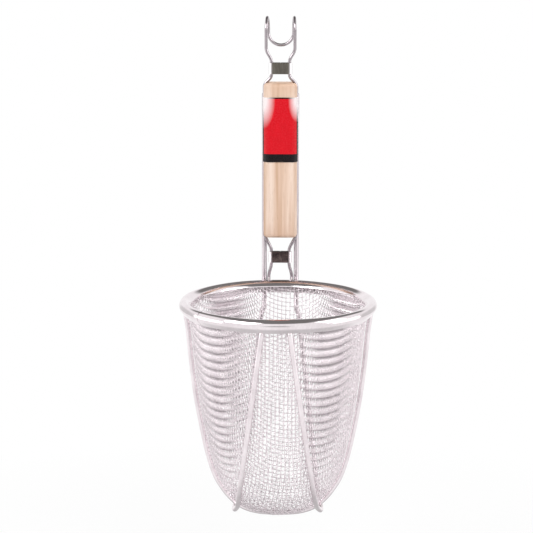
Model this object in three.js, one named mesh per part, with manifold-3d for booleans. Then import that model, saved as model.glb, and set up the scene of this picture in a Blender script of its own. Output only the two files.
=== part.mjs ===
import * as THREE from 'three';
import Module from 'manifold-3d';

// Noodle strainer basket. Millimetres, +Z up. The rim plane is z = 0 while the pieces are shaped,
// the bowl axis is x = y = 0 and the handle stands at the back, on the +Y side.

// Fit between neighbours
const GAP = 0.32;

// Bowl of woven cloth
const BOWL_DEPTH = 161.4;
const BOWL_MOUTH_R = 65.3;
const CLOTH_T = 1.4;
const CLOTH_TUCK = 3.5;
const BOWL_FACETS = 72;

// Ridges that the cloth packs into, one below the other, in the four corners of the bowl.
// The way is measured along the wall from the pole.
const RIDGE_H = 1.7;
const RIDGE_SAG = 1.4;
const RIDGE_HALF_PITCH = 3.115;
const RIDGE_SPREAD = 0.00175;
const RIDGE_MID_WAY = 131.9;
const RIDGE_CLIMB = 21;
const RIDGE_CLIMB_WAY = 33;
const PACK_FROM_WAY = 25;
const PACK_REACH = 15.8;

// Folded rim band and the hoop inside it
const RIM_OVERHANG = 7.2;
const RIM_SHEET = 0.6;
const RIM_TOP_ROUND = 4.0;
const RIM_INNER_LEG = 4.4;
const RIM_SKIRT_H = 9.8;
const RIM_SKIRT_IN = 3.5;
const RIM_SEAM_W = 0.35;
const RIM_SEAM_DEG = 51;
const CORE_WIRE_D = 3.2;
const CORE_DROP = 0.3;

// Rib wires
const RIB_D = 3.8;
const RIB_FRONT_X = 9.8;
const RIB_BOTTOM_X = 29.8;
const RIB_BACK_X = 12.4;
const RIB_JOG_LOW = 10.2;
const RIB_STEP_L = 10.9;
const RIB_RISE = 4;
const RIB_BEND = 4;

// Wooden grip
const GRIP_W = 25.5;
const GRIP_DEPTH = 18;
const GRIP_L = 118;
const GRIP_BOTTOM_Z = 32.9;
const GRIP_ROUND = 4.6;
const GRIP_END_ROUND = 2.6;
const FRAME_GRIP_X = 12.2;
const FRAME_TOP_INSET = 9;
const GRIP_RELIEF_H = 4;
const GRIP_RELIEF_W = 1.4;

// Hook wire
const HOOK_WIRE_D = 2.4;
const HOOK_GRIP_X = 12.2;
const HOOK_CLIP_X = 6.7;
const HOOK_LEG_X = 10.85;
const HOOK_RISE = 34.4;
const HOOK_FLARE = 8.8;
const HOOK_FOLD_R = 9;
const HOOK_DROP = 2.9;
const HOOK_LOOP_R = 9.6;
const HOOK_END_DROP = 4;
const HOOK_END_BEND = 3.5;
const HOOK_BEND = 2.6;

// Sheet clips
const CLIP_H = 8.6;
const CLIP_SHEET = 0.6;
const CLIP_BELOW_GRIP = 11.5;
const CLIP_ABOVE_GRIP = 6.5;
const CLIP_LEAD = 2.2;

// Label on the grip
const LABEL_T = 0.3;
const LABEL_H = 49;
const LABEL_TOP_INSET = 10.5;
const LABEL_WRAP_Y = 4.2;

const wasm = await Module();
wasm.setup();

// Outer radius of the rim, which the rest of the rim and the handle take their places from
const RIM_OUTER_R = BOWL_MOUTH_R + RIM_OVERHANG;

function finish(name, geometry, colour, rough, metal) {
  const flat = geometry.index ? geometry.toNonIndexed() : geometry;
  flat.computeVertexNormals();
  const material = new THREE.MeshStandardMaterial({ color: colour, roughness: rough, metalness: metal });
  const mesh = new THREE.Mesh(flat, material);
  mesh.name = name;
  return mesh;
}

// A path that keeps exactly the points it is given, so bends are fine and straights are plain.
class WirePath extends THREE.Curve {
  constructor(points) {
    super();
    this.points = points;
  }

  getPoint(t) {
    const last = this.points.length - 1;
    const f = Math.min(Math.max(t, 0), 1) * last;
    const i = Math.min(Math.floor(f + 1e-9), last - 1);
    return this.points[i].clone().lerp(this.points[i + 1], f - i);
  }

  getPointAt(t) {
    return this.getPoint(t);
  }

  getTangentAt(t) {
    const last = this.points.length - 1;
    const i = Math.round(t * last);
    const here = this.points[i];
    const before = i > 0 ? here.clone().sub(this.points[i - 1]).normalize() : new THREE.Vector3();
    const after = i < last ? this.points[i + 1].clone().sub(here).normalize() : new THREE.Vector3();
    return before.add(after).normalize();
  }

  getSpacedPoints() {
    return this.points.map((p) => p.clone());
  }
}

// Rounds every corner of a run of points with an arc-like bend that starts `bend` from the corner.
function rounded(points, bend, cuts) {
  const out = [points[0].clone()];
  for (let i = 1; i < points.length - 1; i += 1) {
    const p = points[i];
    const toPrev = points[i - 1].clone().sub(p);
    const toNext = points[i + 1].clone().sub(p);
    const reach = Math.min(bend, toPrev.length() * 0.48, toNext.length() * 0.48);
    const a = p.clone().add(toPrev.setLength(reach));
    const b = p.clone().add(toNext.setLength(reach));
    for (let k = 0; k <= cuts; k += 1) {
      const t = k / cuts;
      const q = a.clone().multiplyScalar((1 - t) * (1 - t));
      q.addScaledVector(p, 2 * t * (1 - t));
      q.addScaledVector(b, t * t);
      out.push(q);
    }
  }
  out.push(points[points.length - 1].clone());
  return out;
}

function wire(name, points, diameter, sides, colour, rough) {
  const ring = new THREE.Shape();
  for (let k = 0; k < sides; k += 1) {
    const a = (2 * Math.PI * (k + 0.5)) / sides;
    const x = (Math.cos(a) * diameter) / 2;
    const y = (Math.sin(a) * diameter) / 2;
    if (k === 0) ring.moveTo(x, y);
    else ring.lineTo(x, y);
  }
  ring.closePath();
  const path = new WirePath(points);
  const options = { steps: points.length - 1, bevelEnabled: false, extrudePath: path };
  return finish(name, new THREE.ExtrudeGeometry(ring, options), colour, rough, 1);
}

// Outer face of the bowl as radius and height, by a smooth curve from the mouth to the pole.
// Each pair is a share of the mouth radius and a share of the depth.
const outlineCurve = new THREE.SplineCurve(
  [
    [1.0, 0.0],
    [1.0, 0.0715],
    [0.977, 0.1466],
    [0.9357, 0.3203],
    [0.8871, 0.474],
    [0.82, 0.624],
    [0.7542, 0.744],
    [0.6784, 0.8346],
    [0.6018, 0.8879],
    [0.5345, 0.9238],
    [0.4594, 0.9535],
    [0.355, 0.9796],
    [0.2, 0.9957],
    [0.0, 1.0],
  ].map(([r, d]) => new THREE.Vector2(r * BOWL_MOUTH_R, -d * BOWL_DEPTH)),
);
const FINE = 400;
const fineOutline = outlineCurve.getPoints(FINE);
fineOutline[FINE].x = 0;

// The outline moved outward along its own normal by `off`, from the mouth to the pole.
function offsetOutline(off) {
  return fineOutline.map((p, i) => {
    const a = fineOutline[Math.max(i - 1, 0)];
    const b = fineOutline[Math.min(i + 1, FINE)];
    const t = b.clone().sub(a).normalize();
    if (i === FINE) t.set(-1, 0);
    return new THREE.Vector2(Math.max(p.x - t.y * off, 0), p.y + t.x * off);
  });
}

function radiusAt(curve, z) {
  for (let i = 0; i < curve.length - 1; i += 1) {
    const a = curve[i];
    const b = curve[i + 1];
    if (a.y >= z && b.y <= z) {
      const t = a.y === b.y ? 0 : (a.y - z) / (a.y - b.y);
      return a.x + (b.x - a.x) * t;
    }
  }
  return z > curve[0].y ? curve[0].x : 0;
}

function heightAt(curve, r) {
  for (let i = curve.length - 1; i > 0; i -= 1) {
    const a = curve[i];
    const b = curve[i - 1];
    if (a.x <= r && b.x >= r) {
      const t = a.x === b.x ? 0 : (r - a.x) / (b.x - a.x);
      return a.y + (b.y - a.y) * t;
    }
  }
  return curve[curve.length - 1].y;
}

// A round body turned about the upright axis from radius and height points
function turned(profile) {
  return new THREE.LatheGeometry(profile, BOWL_FACETS).rotateX(Math.PI / 2);
}

// Middle line of the cloth from the pole to the mouth, and the way along it to each point
const clothLine = offsetOutline(-CLOTH_T / 2).reverse();
const clothWay = [0];
for (let i = 1; i <= FINE; i += 1) {
  clothWay.push(clothWay[i - 1] + clothLine[i].distanceTo(clothLine[i - 1]));
}

// Place on the wall by the way from the pole, `off` outward of the middle line.
// Past the mouth the wall goes straight up.
function clothAt(way, off) {
  const past = Math.max(way - clothWay[FINE], 0);
  let i = clothWay.findIndex((w) => w >= way);
  if (i < 1) i = FINE;
  const a = clothLine[i - 1];
  const b = clothLine[i];
  const t = Math.min((way - clothWay[i - 1]) / (clothWay[i] - clothWay[i - 1]), 1);
  const run = past > 0 ? new THREE.Vector2(0, 1) : b.clone().sub(a).normalize();
  const p = a.clone().lerp(b, t);
  return new THREE.Vector2(p.x + run.y * off, p.y + past - run.x * off);
}

// How much the cloth is ridged: 0 on the four sides, under the rim and low down, 1 in a corner.
// `corner` is 0 in the middle of a side and 1 in the middle of a corner.
function packing(way, corner) {
  if (way < 2 * PACK_FROM_WAY) return 0;
  const edge = 0.545 + PACK_REACH / (way - PACK_FROM_WAY);
  const across = THREE.MathUtils.smoothstep(corner, edge, edge + 0.31);
  const z = clothAt(way, 0).y;
  return across * THREE.MathUtils.smoothstep(-z, RIM_INNER_LEG, RIM_SKIRT_H);
}

// Woven bowl, kept here as one thin cloth shell with an open mouth. Its rows follow the wires'
// crossings. From the packed height up, even rows are crests and odd rows lie deeper by a ridge.
function meshBowl() {
  const columns = 48;
  const rows = [6, 15, 25, 35, 45, 55].map((way) => ({ way, count: 0, plain: true }));
  for (let count = -21; rows[rows.length - 1].way < clothWay[FINE] + 2; count += 1) {
    const way = RIDGE_MID_WAY + RIDGE_HALF_PITCH * count + RIDGE_SPREAD * count * count;
    rows.push({ way, count, plain: false });
  }
  const points = [];
  const sheet = (side) => {
    const pole = clothAt(1e-6, (side * CLOTH_T) / 2).y;
    points.push(0, 0, pole);
    rows.forEach(({ way, count, plain }) => {
      for (let k = 0; k < columns; k += 1) {
        const turn = (2 * Math.PI * k) / columns;
        const corner = Math.abs(Math.sin(2 * turn));
        const climb = RIDGE_CLIMB * (1 - Math.exp(-way / RIDGE_CLIMB_WAY));
        const here = way + climb * Math.pow(1 - corner, 1.33);
        const packed = plain ? 0 : packing(here, corner);
        const crest = count % 2 === 0;
        const off = (side * CLOTH_T) / 2 - (crest ? 0 : RIDGE_H * packed);
        const p = clothAt(here - (crest ? RIDGE_SAG * packed : 0), off);
        points.push(p.x * Math.sin(turn), -p.x * Math.cos(turn), p.y);
      }
    });
  };
  sheet(1);
  sheet(-1);
  const half = 1 + rows.length * columns;
  const index = [];
  const at = (row, k) => 1 + row * columns + (k % columns);
  for (let k = 0; k < columns; k += 1) {
    index.push(0, at(0, k + 1), at(0, k));
    index.push(half, half + at(0, k), half + at(0, k + 1));
    for (let row = 0; row < rows.length - 1; row += 1) {
      const [a, b, c, d] = [at(row, k), at(row, k + 1), at(row + 1, k + 1), at(row + 1, k)];
      index.push(a, b, c, a, c, d);
      index.push(half + a, half + c, half + b, half + a, half + d, half + c);
    }
    const [a, b] = [at(rows.length - 1, k), at(rows.length - 1, k + 1)];
    index.push(a, b, half + b, a, half + b, half + a);
  }
  const shell = new THREE.BufferGeometry();
  shell.setAttribute('position', new THREE.Float32BufferAttribute(points, 3));
  shell.setIndex(index);
  const cut = toSolid(shell).trimByPlane([0, 0, -1], CLOTH_TUCK);
  return finish('mesh_bowl', fromSolid(cut), 0xc9c4c2, 0.45, 1);
}

// Middle line of the rim strip: up the long inner round, over the top, down the slanting outer skirt
function rimMiddle() {
  const half = RIM_SHEET / 2;
  const innerR = BOWL_MOUTH_R - CLOTH_T - 2 * GAP - half;
  const outerR = RIM_OUTER_R - half;
  const outC = new THREE.Vector2(outerR - RIM_TOP_ROUND, -half - RIM_TOP_ROUND);
  const line = [];
  for (let k = 0; k < 5; k += 1) {
    const a = (k / 5) * (Math.PI / 2);
    const run = (outC.x - innerR) * (1 - Math.cos(a));
    const rise = (RIM_INNER_LEG - half) * Math.sin(a);
    line.push(new THREE.Vector2(innerR + run, rise - RIM_INNER_LEG));
  }
  const lean = Math.atan2(RIM_SKIRT_IN, RIM_SKIRT_H - RIM_TOP_ROUND);
  for (let k = 0; k <= 6; k += 1) {
    const a = Math.PI / 2 - (k / 6) * (Math.PI / 2 + lean * 0.9);
    const bend = new THREE.Vector2(Math.cos(a), Math.sin(a)).multiplyScalar(RIM_TOP_ROUND);
    line.push(bend.add(outC));
  }
  line.push(new THREE.Vector2(outerR - RIM_SKIRT_IN, -RIM_SKIRT_H));
  return line;
}

// A closed strip of even thickness about a middle line
function stripAbout(line, thickness) {
  const left = [];
  const right = [];
  line.forEach((p, i) => {
    const a = line[Math.max(i - 1, 0)];
    const b = line[Math.min(i + 1, line.length - 1)];
    const t = b.clone().sub(a).normalize();
    const n = new THREE.Vector2(-t.y, t.x).multiplyScalar(thickness / 2);
    left.push(p.clone().add(n));
    right.push(p.clone().sub(n));
  });
  return left.concat(right.reverse());
}

// The strip's two ends meet in an open butt seam at the front left.
function rimBand() {
  const ring = stripAbout(rimMiddle(), RIM_SHEET).reverse();
  ring.push(ring[0].clone());
  const reach = 2 * (RIM_OVERHANG + CLOTH_T + RIM_SHEET);
  const seam = new THREE.BoxGeometry(RIM_SEAM_W, reach, 3 * RIM_SKIRT_H);
  seam.translate(0, -RIM_OUTER_R + RIM_OVERHANG / 2, 0);
  seam.rotateZ(THREE.MathUtils.degToRad(-RIM_SEAM_DEG));
  const split = toSolid(turned(ring)).subtract(toSolid(seam));
  return finish('rim_band', fromSolid(split), 0xd6d2d0, 0.16, 1);
}

function rimCore() {
  const r = BOWL_MOUTH_R + GAP + CORE_WIRE_D / 2;
  const z = -RIM_SHEET - GAP - CORE_WIRE_D / 2 - CORE_DROP;
  const hoop = [];
  const sides = 8;
  for (let k = 0; k <= sides; k += 1) {
    const a = (2 * Math.PI * ((k % sides) + 0.5)) / sides;
    hoop.push(new THREE.Vector2(r + (Math.cos(a) * CORE_WIRE_D) / 2, z + (Math.sin(a) * CORE_WIRE_D) / 2));
  }
  return finish('rim_core_ring', turned(hoop), 0xbdb9b6, 0.3, 1);
}

// Middle surface of wires that lie on the outside of the bowl, and where they stop under the rim
const ribSkin = offsetOutline(GAP + RIB_D / 2);
const RIB_TOP_Z = -RIM_SKIRT_H - 1.3 * GAP;

// Heights that follow from the grip
const GRIP_TOP_Z = GRIP_BOTTOM_Z + GRIP_L;
const LOWER_CLIP_Z = GRIP_BOTTOM_Z - CLIP_BELOW_GRIP - CLIP_H;
const UPPER_CLIP_Z = GRIP_TOP_Z + CLIP_ABOVE_GRIP;
const HOOK_TOP_Z = UPPER_CLIP_Z + CLIP_H + HOOK_RISE;

// Planes of the two wires in the grip grooves, one behind the other
const HOOK_Y = RIM_OUTER_R + GAP;
const FRAME_Y = HOOK_Y + HOOK_WIRE_D / 2 + GAP + RIB_D / 2;
const GRIP_Y = (HOOK_Y - HOOK_WIRE_D / 2 + FRAME_Y + RIB_D / 2) / 2;

// How far a wire at the back of the rim stands off the axis in Y, for its place in X
function behindRim(x, diameter) {
  const r = RIM_OUTER_R + GAP + diameter / 2;
  return Math.sqrt(r * r - x * x);
}

// Outward normal of the rib skin at a height, as radius and height shares
function skinNormal(z) {
  let i = ribSkin.findIndex((p) => p.y <= z);
  i = Math.min(Math.max(i, 1), FINE - 1);
  const t = ribSkin[i + 1].clone().sub(ribSkin[i - 1]).normalize();
  return new THREE.Vector2(-t.y, t.x);
}

// One rib wire: front of the rim, down, under the bowl, up the back, past the rim, along the grip.
// It steps over the cross rib under the bowl.
function frameWire(name, side) {
  const poleZ = heightAt(ribSkin, RIB_BOTTOM_X);
  const steps = 300;
  const onSkin = (u, xTop, sign) => {
    const z = RIB_TOP_Z + (poleZ - RIB_TOP_Z) * Math.sin((u * Math.PI) / 2);
    const share = (z - RIB_TOP_Z) / (poleZ - RIB_TOP_Z);
    const x = xTop + (RIB_BOTTOM_X - xTop) * share;
    const r = radiusAt(ribSkin, z);
    const y = sign * Math.sqrt(Math.max(r * r - x * x, 0));
    const lift = z < poleZ / 2 ? (RIB_D + GAP) * Math.exp(-Math.pow(y / RIB_STEP_L, 4)) : 0;
    const n = skinNormal(z).multiplyScalar(lift);
    return new THREE.Vector3(side * (x + (n.x * x) / r), y + (n.x * y) / r, z + n.y);
  };
  const fine = [];
  for (let k = 0; k <= steps; k += 1) fine.push(onSkin(k / steps, RIB_FRONT_X, -1));
  for (let k = steps - 1; k >= 0; k -= 1) fine.push(onSkin(k / steps, RIB_BACK_X, 1));
  const jogZ = RIB_TOP_Z - RIB_JOG_LOW;
  const points = [fine[0]];
  let walked = 0;
  for (let k = 1; k < fine.length; k += 1) {
    walked += fine[k].distanceTo(fine[k - 1]);
    const low = fine[k].z < poleZ * 0.85;
    const stride = low && Math.abs(fine[k].y) < 2 * RIB_STEP_L ? RIB_D * 0.8 : RIB_D * 2.4;
    const done = k > steps && fine[k].z > jogZ - RIB_JOG_LOW / 2;
    if (done) break;
    if (walked >= stride) {
      points.push(fine[k]);
      walked = 0;
    }
  }
  const low = radiusAt(ribSkin, jogZ);
  const rimY = behindRim(FRAME_GRIP_X, RIB_D);
  const run = [
    points.pop(),
    new THREE.Vector3(side * RIB_BACK_X, Math.sqrt(low * low - RIB_BACK_X * RIB_BACK_X), jogZ),
    new THREE.Vector3(side * FRAME_GRIP_X, rimY, -RIM_SKIRT_H * 0.7),
    new THREE.Vector3(side * FRAME_GRIP_X, rimY, RIB_RISE),
    new THREE.Vector3(side * FRAME_GRIP_X, FRAME_Y, GRIP_BOTTOM_Z - RIB_RISE),
    new THREE.Vector3(side * FRAME_GRIP_X, FRAME_Y, GRIP_TOP_Z - FRAME_TOP_INSET),
  ];
  points.push(...rounded(run, RIB_BEND, 4));
  return wire(name, points, RIB_D, 8, 0xcdc8c5, 0.25);
}

// Rib across the bowl from the left of the rim to the right, lying on the cloth
function crossRib() {
  const half = [new THREE.Vector2(radiusAt(ribSkin, RIB_TOP_Z), RIB_TOP_Z)];
  const steps = 26;
  for (let k = 1; k <= steps; k += 1) {
    const p = ribSkin[Math.round((k / steps) * FINE)];
    if (p.y < RIB_TOP_Z - 2) half.push(p.clone());
  }
  half[half.length - 1].x = 0;
  const points = half.map((p) => new THREE.Vector3(-p.x, 0, p.y));
  half.reverse().slice(1).forEach((p) => points.push(new THREE.Vector3(p.x, 0, p.y)));
  return wire('cross_rib', points, RIB_D, 8, 0xcdc8c5, 0.25);
}

// One wire from the back of the rim, round the grip, folded back at the top into a hanging hook
function hookWire() {
  const endX = FRAME_GRIP_X - RIB_D / 2 - GAP - HOOK_WIRE_D / 2;
  const endY = behindRim(endX, HOOK_WIRE_D);
  const apexZ = HOOK_TOP_Z - HOOK_WIRE_D / 2;
  const foldZ = apexZ - HOOK_FOLD_R;
  const upperTop = UPPER_CLIP_Z + CLIP_H;
  const lowerTop = LOWER_CLIP_Z + CLIP_H;
  const leg = [
    [endX, endY, -HOOK_END_DROP],
    [endX, endY, HOOK_END_BEND],
    [HOOK_CLIP_X, HOOK_Y, LOWER_CLIP_Z - CLIP_LEAD],
    [HOOK_CLIP_X, HOOK_Y, lowerTop + CLIP_LEAD],
    [HOOK_GRIP_X, HOOK_Y, GRIP_BOTTOM_Z + 1],
    [HOOK_GRIP_X, HOOK_Y, GRIP_TOP_Z - 1],
    [HOOK_CLIP_X, HOOK_Y, UPPER_CLIP_Z - CLIP_LEAD],
    [HOOK_CLIP_X, HOOK_Y, upperTop + CLIP_LEAD],
    [HOOK_LEG_X, HOOK_Y, upperTop + HOOK_FLARE],
    [HOOK_LEG_X, HOOK_Y, foldZ],
  ].map(([x, y, z]) => new THREE.Vector3(x, y, z));
  const half = rounded(leg, HOOK_BEND, 3);
  for (let k = 1; k <= 10; k += 1) {
    const a = Math.PI - (k / 10) * Math.PI;
    const y = HOOK_Y + HOOK_FOLD_R + HOOK_FOLD_R * Math.cos(a);
    const x = HOOK_LEG_X + (HOOK_LOOP_R - HOOK_LEG_X) * (k / 10);
    half.push(new THREE.Vector3(x, y, foldZ + HOOK_FOLD_R * Math.sin(a)));
  }
  const uZ = foldZ - HOOK_DROP;
  const uY = HOOK_Y + 2 * HOOK_FOLD_R;
  const whole = half.map((p) => new THREE.Vector3(-p.x, p.y, p.z));
  for (let k = 0; k <= 12; k += 1) {
    const a = Math.PI + (k / 12) * Math.PI;
    whole.push(new THREE.Vector3(HOOK_LOOP_R * Math.cos(a), uY, uZ + HOOK_LOOP_R * Math.sin(a)));
  }
  half.reverse().forEach((p) => whole.push(p.clone()));
  return wire('hook_wire', whole, HOOK_WIRE_D, 8, 0xd2cdca, 0.2);
}

// A pill-shaped outline in plan, centred on the hook wire runs
function pill(halfX, halfY, target) {
  const flat = halfX - halfY;
  const n = 8;
  const points = [];
  for (let k = 0; k <= n; k += 1) {
    const a = -Math.PI / 2 + (k / n) * Math.PI;
    points.push(new THREE.Vector2(flat + halfY * Math.cos(a), halfY * Math.sin(a)));
  }
  for (let k = 0; k <= n; k += 1) {
    const a = Math.PI / 2 + (k / n) * Math.PI;
    points.push(new THREE.Vector2(-flat + halfY * Math.cos(a), halfY * Math.sin(a)));
  }
  return target.setFromPoints(points);
}

// Sheet band closed round both runs of the hook wire
function clip(name, z) {
  const holeY = HOOK_WIRE_D / 2 + GAP;
  const holeX = HOOK_CLIP_X + holeY;
  const band = pill(holeX + CLIP_SHEET, holeY + CLIP_SHEET, new THREE.Shape());
  band.holes.push(pill(holeX, holeY, new THREE.Path()));
  const shape = new THREE.ExtrudeGeometry(band, { depth: CLIP_H, bevelEnabled: false, curveSegments: 8 });
  shape.translate(0, HOOK_Y, z);
  return finish(name, shape, 0x8c8886, 0.22, 1);
}

function toSolid(geometry) {
  const position = geometry.attributes.position;
  const seen = new Map();
  const verts = [];
  const remap = [];
  for (let i = 0; i < position.count; i += 1) {
    const p = [position.getX(i), position.getY(i), position.getZ(i)];
    const key = p.map((v) => Math.round(v * 1e4)).join(' ');
    if (!seen.has(key)) {
      seen.set(key, verts.length / 3);
      verts.push(...p);
    }
    remap.push(seen.get(key));
  }
  const order = geometry.index ? Array.from(geometry.index.array) : remap.map((v, i) => i);
  const tris = [];
  for (let i = 0; i < order.length; i += 3) {
    const t = [remap[order[i]], remap[order[i + 1]], remap[order[i + 2]]];
    if (t[0] !== t[1] && t[1] !== t[2] && t[0] !== t[2]) tris.push(...t);
  }
  const mesh = new wasm.Mesh({
    numProp: 3,
    vertProperties: Float32Array.from(verts),
    triVerts: Uint32Array.from(tris),
  });
  mesh.merge();
  return new wasm.Manifold(mesh);
}

function fromSolid(solid) {
  const mesh = solid.getMesh();
  const count = mesh.numProp;
  const positions = [];
  for (let i = 0; i < mesh.triVerts.length; i += 1) {
    const v = mesh.triVerts[i] * count;
    positions.push(mesh.vertProperties[v], mesh.vertProperties[v + 1], mesh.vertProperties[v + 2]);
  }
  const geometry = new THREE.BufferGeometry();
  geometry.setAttribute('position', new THREE.Float32BufferAttribute(positions, 3));
  return geometry;
}

// Outline of the grip in plan, shrunk by `inset`
function gripOutline(inset, cuts) {
  const hx = GRIP_W / 2 - inset;
  const hy = GRIP_DEPTH / 2 - inset;
  const r = Math.max(GRIP_ROUND - inset, 0.4);
  const points = [];
  [[1, 1, 0], [-1, 1, 1], [-1, -1, 2], [1, -1, 3]].forEach(([sx, sy, q]) => {
    for (let k = 0; k <= cuts; k += 1) {
      const a = (Math.PI / 2) * (q + k / cuts);
      const cx = sx * (hx - r);
      const cy = sy * (hy - r);
      points.push(new THREE.Vector2(cx + r * Math.cos(a), cy + r * Math.sin(a)));
    }
  });
  return points;
}

// Turned-edge wooden grip with one groove along each side for the wires
function handleGrip() {
  const shape = new THREE.Shape().setFromPoints(gripOutline(GRIP_END_ROUND, 5));
  const bar = new THREE.ExtrudeGeometry(shape, {
    depth: GRIP_L - 2 * GRIP_END_ROUND,
    bevelEnabled: true,
    bevelThickness: GRIP_END_ROUND,
    bevelSize: GRIP_END_ROUND,
    bevelSegments: 4,
  });
  bar.translate(0, GRIP_Y, GRIP_BOTTOM_Z + GRIP_END_ROUND);
  let solid = toSolid(bar);
  const y0 = HOOK_Y - HOOK_WIRE_D / 2 - GAP;
  const y1 = FRAME_Y + RIB_D / 2 + GAP;
  const floor = Math.min(HOOK_GRIP_X - HOOK_WIRE_D / 2, FRAME_GRIP_X - RIB_D / 2) - GAP;
  const cutW = GRIP_W / 2 - floor + 2;
  [-1, 1].forEach((side) => {
    const groove = new THREE.BoxGeometry(cutW, y1 - y0, GRIP_L + 8);
    groove.translate(side * (floor + cutW / 2), (y0 + y1) / 2, GRIP_BOTTOM_Z + GRIP_L / 2);
    solid = solid.subtract(toSolid(groove));
  });
  const hookFloor = HOOK_GRIP_X - HOOK_WIRE_D / 2 - GAP;
  [-1, 1].forEach((side) => {
    [GRIP_BOTTOM_Z, GRIP_TOP_Z].forEach((z) => {
      const relief = new THREE.BoxGeometry(2 * GRIP_RELIEF_W, y1 - y0, 2 * GRIP_RELIEF_H);
      relief.translate(side * hookFloor, (y0 + y1) / 2, z);
      solid = solid.subtract(toSolid(relief));
    });
  });
  return finish('handle_grip', fromSolid(solid), 0xe8d2bd, 0.62, 0);
}

// Thin label bent round the front of the grip
function handleLabel() {
  const near = gripOutline(-GAP, 5).filter((p) => p.y < -LABEL_WRAP_Y);
  const far = gripOutline(-GAP - LABEL_T, 5).filter((p) => p.y < -LABEL_WRAP_Y);
  const loop = near.concat(far.reverse());
  const shape = new THREE.Shape().setFromPoints(loop);
  const sheet = new THREE.ExtrudeGeometry(shape, { depth: LABEL_H, bevelEnabled: false });
  sheet.translate(0, GRIP_Y, GRIP_TOP_Z - LABEL_TOP_INSET - LABEL_H);
  return finish('handle_label', sheet, 0xc9202c, 0.3, 0);
}

const strainer = new THREE.Group();
strainer.name = 'noodle_strainer_basket';
const body = new THREE.Group();
body.name = 'strainer_body';
strainer.add(body);
body.add(
  meshBowl(),
  rimBand(),
  rimCore(),
  frameWire('frame_wire_left', -1),
  frameWire('frame_wire_right', 1),
  crossRib(),
  hookWire(),
  clip('lower_clip', LOWER_CLIP_Z),
  clip('upper_clip', UPPER_CLIP_Z),
  handleGrip(),
  handleLabel(),
);

// The strainer hangs from the inside of its fold, and that point is the origin.
body.position.set(0, -HOOK_Y - HOOK_FOLD_R, -HOOK_TOP_Z + HOOK_WIRE_D);
strainer.updateMatrixWorld(true);

export default strainer;
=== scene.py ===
import math

import bpy
import numpy as np
from mathutils import Matrix


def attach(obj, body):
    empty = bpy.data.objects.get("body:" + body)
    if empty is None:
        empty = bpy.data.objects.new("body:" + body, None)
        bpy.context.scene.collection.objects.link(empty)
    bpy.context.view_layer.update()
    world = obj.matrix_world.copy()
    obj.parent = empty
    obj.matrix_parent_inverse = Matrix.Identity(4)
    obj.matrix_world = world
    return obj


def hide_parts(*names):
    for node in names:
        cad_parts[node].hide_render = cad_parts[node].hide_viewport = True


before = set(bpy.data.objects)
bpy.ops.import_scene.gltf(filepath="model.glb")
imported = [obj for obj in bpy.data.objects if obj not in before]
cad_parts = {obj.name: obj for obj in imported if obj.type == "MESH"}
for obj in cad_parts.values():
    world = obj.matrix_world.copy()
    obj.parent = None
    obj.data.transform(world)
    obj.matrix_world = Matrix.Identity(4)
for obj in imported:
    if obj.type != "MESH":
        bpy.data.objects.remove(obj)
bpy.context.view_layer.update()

# Noodle strainer basket. Shapes are worked out in millimetres with the rim's top at z = 0 and the
# bowl's axis at x = y = 0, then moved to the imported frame, whose origin is inside the hook's fold.
OFFSET = np.array((0.0, -81.82, -198.0))

GAP = 0.32
MOUTH_R = 65.3
DEPTH = 161.4
CLOTH_T = 1.4
TUCK_Z = -3.5
CLOTH_ASKEW_DEG = 7.0

RIM_R = 72.5
RIM_SHEET = 0.6
RIM_TOP_ROUND = 4.0
RIM_INNER_LEG = 4.4
RIM_INNER_BULGE = 1.4
RIM_SKIRT_H = 9.8
RIM_SKIRT_IN = 3.5
SEAM_DEG = -51.0
SEAM_HALF = 0.004

RIB_D = 3.8
RIB_FRONT_X, RIB_LOW_X, RIB_BACK_X = 9.8, 29.8, 12.4
FRAME_X = 12.2
RIB_TOP_Z = -RIM_SKIRT_H - 1.3 * GAP
JOG_DROP = 10.2
STEP_REACH = 10.9
HOOK_D = 2.4
HOOK_END_X = FRAME_X - RIB_D / 2 - GAP - HOOK_D / 2
HOOK_Y = RIM_R + GAP
HOOK_CLIP_X, HOOK_GRIP_X, HOOK_TOP_X = 6.7, 12.2, 10.85
HOOK_TOP_Z = 200.4
HOOK_FOLD_R = 9.0
HOOK_LOOP_R = 9.6
HOOK_LOOP_DROP = 2.9
FRAME_Y = HOOK_Y + HOOK_D / 2 + GAP + RIB_D / 2
GRIP_Y = (HOOK_Y - HOOK_D / 2 + FRAME_Y + RIB_D / 2) / 2
GRIP_BOTTOM = 32.9
GRIP_TOP = 150.9
GRIP_W = 25.5
GRIP_DEPTH = 18.0
GRIP_CORNER = 4.6
GROOVE_X = 9.98
GROOVE_FLARE = 1.3
GROOVE_FLARE_L = 4.4
LABEL_H = 49.0
LABEL_DROP = 10.5
LABEL_T = 0.3
LABEL_WRAP_Y = -4.2
LOWER_CLIP = 12.8
UPPER_CLIP = 157.4
CLIP_H = 8.6
CLIP_SHEET = 0.6
CLIP_SEAM = 0.28
CLIP_SQUEEZE = 0.28

# Radius and depth of the bowl's outline, as shares of the mouth's radius and of the depth
SHARES = [
    (1.0, 0.0), (1.0, 0.0715), (0.977, 0.1466), (0.9357, 0.3203), (0.8871, 0.474),
    (0.82, 0.624), (0.7542, 0.744), (0.6784, 0.8346), (0.6018, 0.8879), (0.5345, 0.9238),
    (0.4594, 0.9535), (0.355, 0.9796), (0.2, 0.9957), (0.0, 1.0),
]


def unit(v):
    return v / np.maximum(np.linalg.norm(v, axis=-1, keepdims=True), 1e-12)


def smoothstep(x):
    t = np.clip(x, 0.0, 1.0)
    return t * t * (3 - 2 * t)


# Meshes and pieces

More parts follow.
